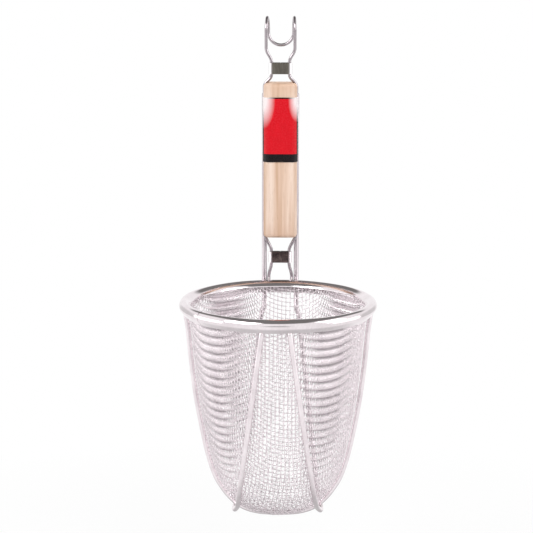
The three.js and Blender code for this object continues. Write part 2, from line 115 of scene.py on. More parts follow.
def piece(name, verts, faces, material, slot, nodes=(), sharp=None, uv=None):
    points = (np.asarray(verts, float) + OFFSET) / 1000.0
    mesh = bpy.data.meshes.new(name)
    mesh.from_pydata(points.tolist(), [], [list(map(int, f)) for f in faces])
    mesh.shade_smooth()
    if sharp:
        mesh.set_sharp_from_angle(angle=math.radians(sharp))
    if uv is not None:
        layer = mesh.uv_layers.new(name="OFBake")
        layer.data.foreach_set("uv", np.asarray(uv, np.float32).ravel())
    mesh.materials.append(material)
    obj = bpy.data.objects.new(name, mesh)
    bpy.context.scene.collection.objects.link(obj)
    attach(obj, "root")
    if nodes:
        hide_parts(*nodes)
    return obj


def ring_faces(rings, sides):
    a = np.arange(rings - 1)[:, None] * sides + np.arange(sides)[None, :]
    b = np.arange(rings - 1)[:, None] * sides + (np.arange(sides)[None, :] + 1) % sides
    return np.stack([a, b, b + sides, a + sides], -1).reshape(-1, 4)


def tangents(p):
    d = unit(np.diff(p, axis=0))
    t = np.vstack([d[:1], d[:-1] + d[1:], d[-1:]])
    return unit(t)


# A round wire along a run of points, with domed ends
def tube(points, radius, sides=16, dome=0.6):
    p = np.asarray(points, float)
    r = np.broadcast_to(np.asarray(radius, float), (len(p),)).copy()
    t = tangents(p)
    steps = np.radians((80, 55, 28))
    head = [p[0] - t[0] * r[0] * dome * math.sin(a) for a in steps]
    tail = [p[-1] + t[-1] * r[-1] * dome * math.sin(a) for a in steps[::-1]]
    p = np.vstack([head, p, tail])
    r = np.concatenate([r[0] * np.cos(steps), r, r[-1] * np.cos(steps[::-1])])
    t = np.vstack([np.repeat(t[:1], 3, 0), t, np.repeat(t[-1:], 3, 0)])
    n = np.cross(t[0], (0.31, 0.87, 0.38))
    ang = 2 * math.pi * np.arange(sides) / sides
    rings = []
    for k in range(len(p)):
        n = unit(n - t[k] * np.dot(n, t[k]))
        b = np.cross(t[k], n)
        rings.append(p[k] + r[k] * (np.cos(ang)[:, None] * n + np.sin(ang)[:, None] * b))
    verts = np.vstack(rings)
    faces = ring_faces(len(p), sides).tolist()
    faces.append(list(range(sides))[::-1])
    faces.append(list(range(len(verts) - sides, len(verts))))
    return verts, faces


# Several solids as one piece
def joined(parts):
    verts, faces, base = [], [], 0
    for v, f in parts:
        verts.append(np.asarray(v))
        faces += [[i + base for i in q] for q in f]
        base += len(v)
    return np.vstack(verts), faces


# A closed outline of offsets (outward, up) carried along a path in plan, with flat ends
def carried(path, normal, outline, lift=None):
    n = len(path)
    m = len(outline)
    verts = np.zeros((n, m, 3))
    verts[:, :, :2] = path[:, None, :] + normal[:, None, :] * outline[None, :, :1]
    verts[:, :, 2] = outline[None, :, 1]
    if lift is not None:
        verts[:, :, 2] += lift[:, None]
    faces = ring_faces(n, m).tolist()
    faces.append(list(range(m))[::-1])
    faces.append(list(range((n - 1) * m, n * m)))
    return verts.reshape(-1, 3), faces


# A run of straight pieces with its corners bent
def rounded(points, bend, cuts):
    pts = [np.asarray(p, float) for p in points]
    out = [pts[0]]
    for before, p, after in zip(pts, pts[1:], pts[2:]):
        a, b = before - p, after - p
        reach = min(bend, np.linalg.norm(a) * 0.48, np.linalg.norm(b) * 0.48)
        a, b = p + unit(a) * reach, p + unit(b) * reach
        for t in np.linspace(0, 1, cuts + 1):
            out.append(a * (1 - t) ** 2 + p * 2 * t * (1 - t) + b * t * t)
    out.append(pts[-1])
    return np.array(out)


# Materials

def srgb(r, g, b):
    out = []
    for v in (r, g, b):
        c = v / 255
        out.append(c / 12.92 if c <= 0.04045 else ((c + 0.055) / 1.055) ** 2.4)
    return (*out, 1.0)


class Graph:
    def __init__(self, owner):
        owner.use_nodes = True
        self.owner = owner
        self.tree = owner.node_tree
        self.shader = self.tree.nodes.get("Principled BSDF")

    def add(self, kind, **props):
        made = self.tree.nodes.new(kind)
        for key, value in props.items():
            setattr(made, key, value)
        return made

    def link(self, a, b):
        self.tree.links.new(a, b)

    def put(self, name, value):
        self.shader.inputs[name].default_value = value

    def place(self, scale=(1, 1, 1)):
        coord = self.add("ShaderNodeTexCoord")
        mapping = self.add("ShaderNodeMapping")
        mapping.inputs["Scale"].default_value = scale
        self.link(coord.outputs["Object"], mapping.inputs["Vector"])
        return mapping.outputs["Vector"]

    def axes(self, vector):
        made = self.add("ShaderNodeSeparateXYZ")
        self.link(vector, made.inputs["Vector"])
        return made.outputs

    def measure(self, operation, vector, point):
        made = self.add("ShaderNodeVectorMath", operation=operation)
        made.inputs[1].default_value = point
        self.link(vector, made.inputs[0])
        return made.outputs["Value"]

    def noise(self, vector, scale, detail=3.0, rough=0.5, distortion=0.0):
        made = self.add("ShaderNodeTexNoise")
        made.inputs["Scale"].default_value = scale
        made.inputs["Detail"].default_value = detail
        made.inputs["Roughness"].default_value = rough
        made.inputs["Distortion"].default_value = distortion
        self.link(vector, made.inputs["Vector"])
        return made.outputs["Fac"]

    def ramp(self, fac, stops):
        made = self.add("ShaderNodeValToRGB")
        band = made.color_ramp
        while len(band.elements) < len(stops):
            band.elements.new(0.5)
        for element, (at, colour) in zip(band.elements, stops):
            element.position = at
            element.color = colour
        self.link(fac, made.inputs["Fac"])
        return made.outputs["Color"]

    def span(self, fac, low, high, to_low, to_high, ease="LINEAR"):
        made = self.add("ShaderNodeMapRange", interpolation_type=ease)
        names = ("From Min", "From Max", "To Min", "To Max")
        for key, value in zip(names, (low, high, to_low, to_high)):
            made.inputs[key].default_value = value
        self.link(fac, made.inputs["Value"])
        return made.outputs["Result"]

    def mix(self, fac, a, b):
        made = self.add("ShaderNodeMix", data_type="RGBA")
        for socket, value in ((made.inputs[0], fac), (made.inputs[6], a), (made.inputs[7], b)):
            if isinstance(value, bpy.types.NodeSocket):
                self.link(value, socket)
            else:
                socket.default_value = value
        return made.outputs[2]

    def math(self, operation, a, b=0.0):
        made = self.add("ShaderNodeMath", operation=operation)
        for socket, value in zip(made.inputs, (a, b)):
            if isinstance(value, bpy.types.NodeSocket):
                self.link(value, socket)
            else:
                socket.default_value = value
        return made.outputs["Value"]

    def bump(self, height, strength, distance):
        made = self.add("ShaderNodeBump")
        made.inputs["Strength"].default_value = strength
        made.inputs["Distance"].default_value = distance
        self.link(height, made.inputs["Height"])
        self.link(made.outputs["Normal"], self.shader.inputs["Normal"])

    def colour(self, socket):
        self.link(socket, self.shader.inputs["Base Color"])

    def rough(self, socket):
        self.link(socket, self.shader.inputs["Roughness"])


# Bare steel: uneven sheen from handling and drawing marks, worn a little brighter in places. Given a
# crease colour, the valley wires of the packed ridges are darkened by the point attribute fold:
# painted shade. Each tint is an axis, where it starts and ends along it in metres, its share at both
# places, and its colour; the tints below are painted shade and painted highlight.
# Where the painted shade in the ridge valleys starts along fold, and how much of its colour it takes
CREASE_SHADE_START = 0.45
CREASE_SHADE_SHARE = 0.36


def steel(name, light, dark, rough, spread, patch, stretch, relief, metal=1.0, crease_shade=None, tints=()):
    g = Graph(bpy.data.materials.new(name))
    g.put("Metallic", metal)
    spot = g.place()
    broad = g.noise(spot, patch, 4.0, 0.55, 0.3)
    marks = g.noise(g.place(stretch), 900.0, 5.0, 0.6)
    both = g.math("ADD", g.math("MULTIPLY", broad, 0.65), g.math("MULTIPLY", marks, 0.35))
    tone = g.ramp(both, [(0.36, dark), (0.62, light)])
    # Painted shade: the valley wires of the packed ridges are mixed towards the crease colour
    if crease_shade:
        crease_shade_weight = g.add("ShaderNodeAttribute", attribute_name="fold").outputs["Fac"]
        tone = g.mix(g.span(crease_shade_weight, CREASE_SHADE_START, 1.0, 0.0, CREASE_SHADE_SHARE), tone, crease_shade)
    for axis, start, end, share_at_start, share_at_end, tint in tints:
        along = g.axes(spot)[axis]
        if axis == "X":
            along = g.math("ABSOLUTE", along)
        tone = g.mix(g.span(along, start, end, share_at_start, share_at_end), tone, tint)
    g.colour(tone)
    g.rough(g.span(both, 0.3, 0.7, rough + spread, rough - spread))
    g.bump(marks, relief, 0.0002)
    return g.owner


# Painted shade: the woven cloth darkens towards the bottom of the bowl
PAINTED_SHADE_FOOT = (("Z", -0.362, -0.335, 0.30, 0.0, srgb(186, 176, 182)),)
# Painted shade: darker towards the back, where the ribs sit behind the cloth
PAINTED_SHADE_BEHIND = (("Y", -0.055, -0.03, 0.0, 0.36, srgb(112, 100, 108)),)
# Painted highlight: pale rounded ends on the clips
PAINTED_HIGHLIGHT_ENDS = (("X", 0.0060, 0.0069, 0.0, 1.0, srgb(246, 240, 242)),)
EVEN, DRAWN, ROLLED, CUT = (1, 1, 1), (1, 1, 0.1), (1, 1, 0.25), (1, 1, 0.15)

# Woven cloth, with painted shade in the ridge valleys and painted shade towards the bowl's bottom
WIRE_CLOTH = steel(
    "woven_steel", srgb(253, 246, 249), srgb(240, 231, 235), 0.26, 0.07, 70.0, EVEN, 0.10,
    metal=0.85, crease_shade=srgb(120, 112, 116), tints=PAINTED_SHADE_FOOT)
RIM_STEEL = steel(
    "rim_steel", srgb(242, 234, 237), srgb(228, 219, 222), 0.08, 0.03, 45.0, ROLLED, 0.03)
# Inner faces of the rim band: a paler, almost non-metal copy of the rim steel that lightens faces
# lying in shade, painted light
RIM_INSIDE_PAINTED_LIGHT = steel(
    "rim_inside_painted_light", srgb(252, 248, 249), srgb(244, 238, 240), 0.50, 0.05, 45.0, EVEN, 0.05,
    metal=0.1)
# Rib wires and core ring, with painted shade towards the back
ROD_STEEL = steel(
    "rod_steel", srgb(246, 238, 241), srgb(230, 220, 224), 0.24, 0.05, 60.0, DRAWN, 0.08,
    tints=PAINTED_SHADE_BEHIND)
# Hook wire: the same steel, its colour darkened to stand in for dark reflections, a painted reflection
HOOK_STEEL_PAINTED_DARK = steel(
    "hook_steel_painted_dark", srgb(186, 178, 182), srgb(152, 144, 148), 0.12, 0.04, 60.0, DRAWN, 0.05)
# Clip steel: colours darkened to stand in for dark reflections, a painted reflection, with a painted
# highlight on the rounded ends
CLIP_STEEL_HIGH_PAINTED_DARK = steel(
    "clip_steel_olive_painted_dark", srgb(164, 158, 147), srgb(126, 120, 111), 0.12, 0.04, 85.0, CUT, 0.08,
    tints=PAINTED_HIGHLIGHT_ENDS)
CLIP_STEEL_LOW_PAINTED_DARK = steel(
    "clip_steel_painted_dark", srgb(142, 126, 122), srgb(46, 38, 46), 0.12, 0.04, 190.0, CUT, 0.08,
    tints=PAINTED_HIGHLIGHT_ENDS)
WELD_STEEL = steel(
    "weld_steel", srgb(214, 206, 208), srgb(150, 142, 140), 0.30, 0.10, 700.0, EVEN, 0.35)


# Pale close-grained hardwood, sanded, unvarnished, a little darker at both ends
def wood(name):
    g = Graph(bpy.data.materials.new(name))
    wide = g.noise(g.place((1.0, 1.0, 0.04)), 130.0, 4.0, 0.55, 0.8)
    streak = g.noise(g.place((1.0, 1.0, 0.02)), 480.0, 4.0, 0.6, 0.3)
    pores = g.noise(g.place((1.0, 1.0, 0.035)), 2600.0, 2.0, 0.5)
    base = g.ramp(wide, [
        (0.30, srgb(204, 168, 141)), (0.43, srgb(221, 191, 169)),
        (0.56, srgb(232, 207, 189)), (0.70, srgb(238, 217, 202)),
    ])
    lined = g.mix(g.span(streak, 0.52, 0.72, 0.0, 0.55), base, srgb(208, 172, 145))
    pored = g.mix(g.span(pores, 0.60, 0.72, 0.0, 0.45), lined, srgb(176, 138, 108))
    height = g.axes(g.place())["Z"]
    low, high = (GRIP_BOTTOM + OFFSET[2]) / 1000.0, (GRIP_TOP + OFFSET[2]) / 1000.0
    from_end = g.math("MINIMUM", g.math("SUBTRACT", height, low), g.math("SUBTRACT", high, height))
    g.colour(g.mix(g.span(from_end, 0.0, 0.012, 0.42, 0.0), pored, srgb(204, 166, 140)))
    g.rough(g.span(streak, 0.3, 0.7, 0.52, 0.66))
    relief = g.math("SUBTRACT", g.math("MULTIPLY", streak, 0.5), g.math("MULTIPLY", pores, 0.5))
    g.bump(relief, 0.22, 0.0003)
    g.put("Specular IOR Level", 0.35)
    return g.owner


# Printed film: red field over a black foot, thin black edges; both upper corners fade to white as a
# painted highlight, glare on the glossy film
PRINT_FOOT = 0.0052
PRINT_EDGE = 0.0009
# Painted highlight: which side, and how far the glare reaches from each upper corner
GLARE_CORNERS = ((-1, 0.022), (1, 0.017))
GLARE_NARROWING = 2.3
GLARE_DROP = 0.002


def film(name, half, low, high):
    g = Graph(bpy.data.materials.new(name))
    spot = g.add("ShaderNodeTexCoord").outputs["Object"]
    part = g.axes(spot)
    side = g.math("SUBTRACT", half, g.math("ABSOLUTE", part["X"]))
    foot = g.math("SUBTRACT", part["Z"], low + PRINT_FOOT)
    head = g.math("SUBTRACT", high, part["Z"])
    edge = g.math("MINIMUM", side, g.math("MINIMUM", foot, head))
    uneven = g.noise(g.place(), 240.0, 4.0, 0.6)
    red = g.ramp(uneven, [(0.3, srgb(206, 14, 29)), (0.7, srgb(214, 20, 35))])
    black = g.ramp(uneven, [(0.3, srgb(14, 10, 13)), (0.7, srgb(26, 21, 24))])
    tone = g.mix(g.span(edge, PRINT_EDGE, PRINT_EDGE + 0.0001, 0.0, 1.0), black, red)
    narrowed = g.add("ShaderNodeCombineXYZ")
    g.link(g.math("MULTIPLY", part["X"], GLARE_NARROWING), narrowed.inputs["X"])
    g.link(part["Z"], narrowed.inputs["Z"])
    # Painted highlight: glare fading to white over both upper corners
    for sign, reach in GLARE_CORNERS:
        corner = (GLARE_NARROWING * sign * half, 0.0, high - GLARE_DROP)
        away = g.measure("DISTANCE", narrowed.outputs["Vector"], corner)
        tone = g.mix(g.span(away, 0.3 * reach, reach, 0.95, 0.0), tone, srgb(246, 238, 238))
    g.colour(tone)
    g.rough(g.span(g.noise(g.place(), 900.0, 3.0, 0.5), 0.3, 0.7, 0.24, 0.30))
    g.bump(g.noise(g.place((1, 1, 0.1)), 500.0, 3.0, 0.5), 0.02, 0.0002)
    g.put("Specular IOR Level", 0.2)
    g.put("Coat Weight", 0.06)
    g.put("Coat Roughness", 0.12)
    return g.owner


# Outline of the bowl

def catmull(points, count):
    p = np.asarray(points, float)
    last = len(p) - 1
    f = np.linspace(0, last, count + 1)
    i = np.minimum(f.astype(int), last - 1)
    w = (f - i)[:, None]
    p0, p1, p2, p3 = p[np.maximum(i - 1, 0)], p[i], p[i + 1], p[np.minimum(i + 2, last)]
    v0, v1 = (p2 - p0) / 2, (p3 - p1) / 2
    return (2 * p1 - 2 * p2 + v0 + v1) * w**3 + (-3 * p1 + 3 * p2 - 2 * v0 - v1) * w**2 + v0 * w + p1


OUTLINE = catmull([(r * MOUTH_R, -d * DEPTH) for r, d in SHARES], 1600)


def offset_outline(off):
    t = unit(np.gradient(OUTLINE, axis=0))
    t[-1] = (-1, 0)
    moved = OUTLINE + off * np.stack([-t[:, 1], t[:, 0]], 1)
    moved[:, 0] = np.maximum(moved[:, 0], 0)
    return moved


def soften(a, reach, odd):
    before = (-a if odd else a)[reach:0:-1]
    after = 2 * a[-1] - a[-2:-reach - 2:-1]
    kernel = np.hanning(2 * reach + 1)
    return np.convolve(np.concatenate([before, a, after]), kernel / kernel.sum(), "valid")


# Woven bowl. Two families of wires start as a square net and keep their crossings a fixed step
# apart, so the net shears towards the four corners and packs into close ridges there.
PITCH = 3.175
WEAVE_R = 0.31
WEAVE_SIDES = 5
CRIMP = 0.30
RIDGE = 0.85
SAG = 1.4
PACK_START = 3.5
PACK_RANGE = 1.3

middle = offset_outline(-CLOTH_T / 2)[::-1]
middle[0, 0] = 0.0
middle = np.vstack([middle, middle[-1] + (0.0, 8.0)])
walked = np.concatenate([[0], np.cumsum(np.linalg.norm(np.diff(middle, axis=0), axis=1))])
ARC = np.linspace(0, walked[-1], 6000)
ARC_R = soften(np.interp(ARC, walked, middle[:, 0]), 160, True)
ARC_Z = soften(np.interp(ARC, walked, middle[:, 1]), 160, False)
ARC_DR = np.gradient(ARC_R, ARC)
ARC_DZ = np.gradient(ARC_Z, ARC)


def on_bowl(turn, arc):
    r, z = np.interp(arc, ARC, ARC_R), np.interp(arc, ARC, ARC_Z)
    return np.array((r * math.sin(turn), -r * math.cos(turn), z))


def meridian_steps():
    at = [0.0]
    while True:
        here, nxt = at[-1], at[-1] + PITCH
        for _ in range(8):
            dr = np.interp(nxt, ARC, ARC_R) - np.interp(here, ARC, ARC_R)
            dz = np.interp(nxt, ARC, ARC_Z) - np.interp(here, ARC, ARC_Z)
            nxt += PITCH - math.hypot(dr, dz)
        if nxt > ARC[-1] - 0.5:
            return at
        at.append(nxt)


def next_crossing(a, b, corner, start):
    guess = a + b - corner
    turn, arc = math.atan2(guess[0], -guess[1]), start
    for _ in range(40):
        p = on_bowl(turn, arc)
        r = math.hypot(p[0], p[1])
        dr, dz = np.interp(arc, ARC, ARC_DR), np.interp(arc, ARC, ARC_DZ)
        along = np.array((r * math.cos(turn), r * math.sin(turn), 0.0))
        up = np.array((dr * math.sin(turn), -dr * math.cos(turn), dz))
        fa = (p - a) @ (p - a) - PITCH**2
        fb = (p - b) @ (p - b) - PITCH**2
        if max(abs(fa), abs(fb)) < 1e-7:
            return turn, arc
        ja, jb = 2 * (p - a) @ along, 2 * (p - a) @ up
        jc, jd = 2 * (p - b) @ along, 2 * (p - b) @ up
        det = ja * jd - jb * jc
        if abs(det) < 1e-12:
            return None
        turn += min(max((jb * fb - jd * fa) / det, -0.05), 0.05)
        arc += min(max((jc * fa - ja * fb) / det, -1.5), 1.5)
    return None


def weave_net():
    steps = meridian_steps()
    n = len(steps)
    turn = np.full((n, n), np.nan)
    arc = np.full((n, n), np.nan)
    at = np.full((n, n, 3), np.nan)
    short = np.full((n, n), PITCH * math.sqrt(2))
    turn[0, :], arc[0, :] = 0.0, steps
    turn[:, 0], arc[:, 0] = math.pi / 2, steps
    for k in range(n):
        at[0, k] = on_bowl(0.0, steps[k])
        at[k, 0] = on_bowl(math.pi / 2, steps[k])
    for total in range(2, 2 * n - 1):
        for i in range(max(1, total - n + 1), min(total, n)):
            j = total - i
            if np.isnan(arc[i - 1, j]) or np.isnan(arc[i, j - 1]):
                continue
            start = max(arc[i - 1, j], arc[i, j - 1]) + PITCH / 2
            found = next_crossing(at[i - 1, j], at[i, j - 1], at[i - 1, j - 1], start)
            if found is None or found[1] > ARC[-1] - 0.2:
                continue
            if found[1] < min(arc[i - 1, j], arc[i, j - 1]):
                continue
            turn[i, j], arc[i, j] = found
            at[i, j] = on_bowl(*found)
            short[i, j] = np.linalg.norm(at[i - 1, j] - at[i, j - 1])
    return turn, arc, at, short


# The cloth sits a little askew: its front middle is turned to the left of the ribs'
CLOTH_TURN = np.array(Matrix.Rotation(math.radians(CLOTH_ASKEW_DEG), 3, "Z"))


# Each wire carries its lifts and fold weights; the fold weights drive the painted shade in the valleys
def weave_wire(base, normal, lift, fold):
    inside = np.nonzero(base[:, 2] < TUCK_Z)[0]
    first, last = inside[0], inside[-1]
    points, normals, lifts, crease_shade = [], [], [], []

    def edge(low, high):
        if not 0 <= high < len(base):
            return
        t = (TUCK_Z - base[low, 2]) / (base[high, 2] - base[low, 2])
        points.append(base[low] + (base[high] - base[low]) * t)
        normals.append(normal[low])
        lifts.append(lift[low] * (1 - 0.7 * t))
        crease_shade.append(fold[low])

    edge(first, first - 1)
    for k in range(first, last):
        step = base[k + 1] - base[k]
        for share, owner in ((0.24, k), (0.76, k + 1)):
            points.append(base[k] + step * share)
            normals.append(normal[k] + (normal[k + 1] - normal[k]) * share)
            lifts.append(lift[owner])
            crease_shade.append(fold[owner])
    edge(last, last + 1)
    return np.array(points), np.array(normals), np.array(lifts), np.array(crease_shade)


# One family of wires as a piece. Each face has its own cell of the map OFBake: a row for each side of
# each wire, a column for each step along it, and two more columns for its ends.
def weave(name, wires, nodes):
    sides = WEAVE_SIDES
    ang = 2 * math.pi * (np.arange(sides) + 0.25) / sides
    disc = 0.4 * np.stack([np.cos(ang), np.sin(ang)], 1)
    columns = max(len(w[0]) for w in wires) + 2
    rows = len(wires) * sides
    verts, faces, uvs, crease_shade_weight, base = [], [], [], [], 0
    for w, (p, n, lift, fold) in enumerate(wires):
        n = unit(n) @ CLOTH_TURN
        p = p @ CLOTH_TURN + n * lift[:, None]
        t = tangents(p)
        n = unit(n - t * np.sum(n * t, 1, keepdims=True))
        b = np.cross(t, n)
        ring = p[:, None] + WEAVE_R * (
            np.cos(ang)[None, :, None] * n[:, None] + np.sin(ang)[None, :, None] * b[:, None])
        verts.append(ring.reshape(-1, 3))
        crease_shade_weight.append(np.repeat(fold, sides))
        faces += (ring_faces(len(p), sides) + base).tolist()
        faces.append([base + k for k in range(sides)][::-1])
        faces.append([base + (len(p) - 1) * sides + k for k in range(sides)])
        seg = np.repeat(np.arange(len(p) - 1), sides)
        row = np.tile(np.arange(sides), len(p) - 1) + w * sides
        u0, u1 = (seg + 0.05) / columns, (seg + 0.95) / columns
        v0, v1 = (row + 0.05) / rows, (row + 0.95) / rows
        uvs.append(np.stack([u0, v0, u0, v1, u1, v1, u1, v0], -1).reshape(-1, 2))
        for cell in (columns - 2, columns - 1):
            uvs.append((disc + (cell + 0.5, w + 0.5)) / (columns, len(wires)))
        base += len(p) * sides
    obj = piece(name, np.vstack(verts), faces, WIRE_CLOTH, "wire_cloth", nodes, uv=np.vstack(uvs))
    # Point attribute fold: the weight of the painted shade on the ridge valleys
    mark = obj.data.attributes.new("fold", "FLOAT", "POINT")
    mark.data.foreach_set("value", np.concatenate(crease_shade_weight).astype(np.float32))


# The net covers a quarter of the bowl: each row is carried on across the middle, then mirrored aside
def wire_family(at, out, lift, fold, mirror_end, mirror_side):
    wires = []
    for row in range(len(at)):
        missing = np.isnan(at[row, :, 2])
        reach = int(np.argmax(missing)) if missing.any() else len(missing)
        order = list(range(reach - 1, -1, -1)) + list(range(1, reach))
        far = (np.arange(len(order)) >= reach)[:, None]
        base = np.where(far, at[row, order] * mirror_end, at[row, order])
        normal = np.where(far, out[row, order] * mirror_end, out[row, order])
        if (base[:, 2] < TUCK_Z).sum() < 3:
            continue
        waves = lift[row, order], fold[row, order]
        wires.append(weave_wire(base, normal, *waves))
        if row:
            wires.append(weave_wire(base * mirror_side, normal * mirror_side, *waves))
    return wires


def weave_bowl():
    turn, arc, at, short = weave_net()
    n = len(arc)
    dr, dz = np.interp(arc, ARC, ARC_DR), np.interp(arc, ARC, ARC_DZ)
    out = np.stack([dz * np.sin(turn), -dz * np.cos(turn), -dr], -1)
    packed = smoothstep((PACK_START - short) / PACK_RANGE)
    packed = packed * smoothstep((-RIM_INNER_LEG - at[..., 2]) / (RIM_SKIRT_H - RIM_INNER_LEG))
    sign = np.where(np.add.outer(np.arange(n), np.arange(n)) % 2 == 0, 1.0, -1.0)
    ridge = RIDGE * packed * (sign - 1)
    # Valley rows of the packed ridges, which take the painted shade
    fold = packed * (sign < 0)
    up = np.stack([dr * np.sin(turn), -dr * np.cos(turn), dz], -1)
    at = at - up * (SAG * packed * (sign > 0))[..., None]
    flip_x, flip_y = np.array((-1.0, 1.0, 1.0)), np.array((1.0, -1.0, 1.0))
    warp = wire_family(at, out, ridge + CRIMP * sign, fold, flip_y, flip_x)
    turned = [a.swapaxes(0, 1) for a in (at, out, ridge - CRIMP * sign, fold)]
    weft = wire_family(*turned, flip_x, flip_y)
    weave("weave_warp", warp, ("mesh_bowl",))
    weave("weave_weft", weft, ())


weave_bowl()


# Folded rim band with an open butt seam at the front left

def rim_outline():
    half = RIM_SHEET / 2
    inner = MOUTH_R - CLOTH_T - 2 * GAP - half
    outer = RIM_R - half
    run = outer - RIM_TOP_ROUND - inner
    line = []
    for a in np.linspace(0, math.pi / 2, 20)[:-1]:
        line.append((
            inner + run * (1 - math.cos(a) ** RIM_INNER_BULGE),
            (RIM_INNER_LEG - half) * math.sin(a) ** RIM_INNER_BULGE - RIM_INNER_LEG))
    lean = math.atan2(RIM_SKIRT_IN, RIM_SKIRT_H - RIM_TOP_ROUND)
    for a in np.linspace(math.pi / 2, -lean * 0.9, 14):
        line.append((
            outer - RIM_TOP_ROUND + RIM_TOP_ROUND * math.cos(a),
            -half - RIM_TOP_ROUND + RIM_TOP_ROUND * math.sin(a)))
    foot = np.array((outer - RIM_SKIRT_IN, -RIM_SKIRT_H))
    knee = np.array(line[-1])
    for share in (0.3, 0.6, 0.9, 0.97, 1.0):
        line.append(tuple(knee + (foot - knee) * share))
    line = np.array(line)
    t = tangents(line)
    n = np.stack([-t[:, 1], t[:, 0]], 1) * half
    return np.vstack([line + n, (line - n)[::-1]])


# The strip isn't quite true: its radius and height waver by up to about 0.2 mm
def rim_band():
    turn = math.radians(SEAM_DEG) + np.linspace(SEAM_HALF, 2 * math.pi - SEAM_HALF, 300)
    plan = np.stack([np.sin(turn), -np.cos(turn)], 1)
    wave = 0.10 * np.sin(3 * turn + 0.8) + 0.07 * np.sin(7 * turn + 2.1)
    wave = wave + 0.04 * np.sin(13 * turn + 0.4)
    lift = 0.07 * np.sin(4 * turn + 1.3) + 0.05 * np.sin(9 * turn)
    outline = rim_outline()
    verts, faces = carried(plan * wave[:, None], plan, outline, lift)
    band = piece("rim_strip", verts, faces, RIM_STEEL, "polished_steel", ("rim_band",), sharp=50)
    band.data.materials.append(RIM_INSIDE_PAINTED_LIGHT)
    inside = (np.arange(len(faces)) % len(outline)) >= len(outline) // 2
    inside[-2:] = False
    band.data.polygons.foreach_set("material_index", inside.astype(np.int32))


rim_band()
for slot in bpy.data.objects["rim_core_ring"].material_slots:
    slot.material = ROD_STEEL


# Rib wires

SKIN = offset_outline(GAP + RIB_D / 2)
SKIN_T = unit(np.gradient(SKIN, axis=0))
SKIN_N = np.stack([-SKIN_T[:, 1], SKIN_T[:, 0]], 1)


def skin_radius(z):
    return np.interp(-z, -SKIN[:, 1], SKIN[:, 0])


def behind_rim(x, diameter):
    return math.sqrt((RIM_R + GAP + diameter / 2) ** 2 - x * x)


def frame_path(side):
    low_z = float(np.interp(RIB_LOW_X, SKIN[::-1, 0], SKIN[::-1, 1]))
    u = np.linspace(0, 1, 260)
    z = RIB_TOP_Z + (low_z - RIB_TOP_Z) * np.sin(u * math.pi / 2)
    share = (z - RIB_TOP_Z) / (low_z - RIB_TOP_Z)
    r = skin_radius(z)
    n_r = np.interp(-z, -SKIN[:, 1], SKIN_N[:, 0])
    n_z = np.interp(-z, -SKIN[:, 1], SKIN_N[:, 1])
    halves = []
    for top, sign in ((RIB_FRONT_X, -1), (RIB_BACK_X, 1)):
        x = top + (RIB_LOW_X - top) * share
        y = sign * np.sqrt(np.maximum(r * r - x * x, 0))
        lift = np.where(z < low_z / 2, (RIB_D + GAP) * np.exp(-((y / STEP_REACH) ** 4)), 0)
        halves.append(np.stack([x + n_r * lift * x / r, y + n_r * lift * y / r, z + n_z * lift], 1))
    jog = RIB_TOP_Z - JOG_DROP
    back = halves[1][::-1]
    back = back[back[:, 2] < jog - JOG_DROP / 2]
    run = np.vstack([halves[0], back[1:]])
    gone = np.concatenate([[0], np.cumsum(np.linalg.norm(np.diff(run, axis=0), axis=1))])
    even = np.arange(0, gone[-1], 1.6)
    run = np.stack([np.interp(even, gone, run[:, k]) for k in range(3)], 1)
    for _ in range(3):
        run[1:-1] = (run[:-2] + 2 * run[1:-1] + run[2:]) / 4
    low = float(skin_radius(jog))
    rim_y = behind_rim(FRAME_X, RIB_D)
    rest = [
        run[-1],
        (RIB_BACK_X, math.sqrt(low * low - RIB_BACK_X**2), jog),
        (FRAME_X, rim_y, -RIM_SKIRT_H * 0.7),
        (FRAME_X, rim_y, 4.0),
        (FRAME_X, FRAME_Y, GRIP_BOTTOM - 4.0),
        (FRAME_X, FRAME_Y, GRIP_TOP - 9.0),
    ]
    path = np.vstack([run[:-1], rounded(rest, 4.0, 8)])
    return path * (side, 1, 1)


def cross_path():
    half = SKIN[SKIN[:, 1] < RIB_TOP_Z][::12]
    half = np.vstack([[(skin_radius(RIB_TOP_Z), RIB_TOP_Z)], half[1:], [(0.0, SKIN[-1, 1])]])
    whole = np.vstack([half * (-1, 1), half[::-1][1:]])
    return np.stack([whole[:, 0], np.zeros(len(whole)), whole[:, 1]], 1)


# A low bead of weld metal: short, thick in the middle, drawn out to thin ends
def bead(centre, along, length, radius):
    t = np.linspace(-1, 1, 9)
    centre, along = np.asarray(centre, float), unit(np.asarray(along, float))
    points = centre + along * (t * length / 2)[:, None]
    swell = radius * np.sqrt(np.maximum(1 - 0.92 * t * t, 0.05))
    return tube(points, swell * (1 + 0.06 * np.sin(5 * t + centre[0])), 12, 0.5)


left_path, right_path, across = frame_path(-1), frame_path(1), cross_path()
piece("rib_left", *tube(left_path, RIB_D / 2), ROD_STEEL, "steel_wire", ("frame_wire_left",))
piece("rib_right", *tube(right_path, RIB_D / 2), ROD_STEEL, "steel_wire", ("frame_wire_right",))
piece("rib_across", *tube(across, RIB_D / 2), ROD_STEEL, "steel_wire", ("cross_rib",))


# Hook wire: from the back of the rim up past the grip, folded back and down into a loop

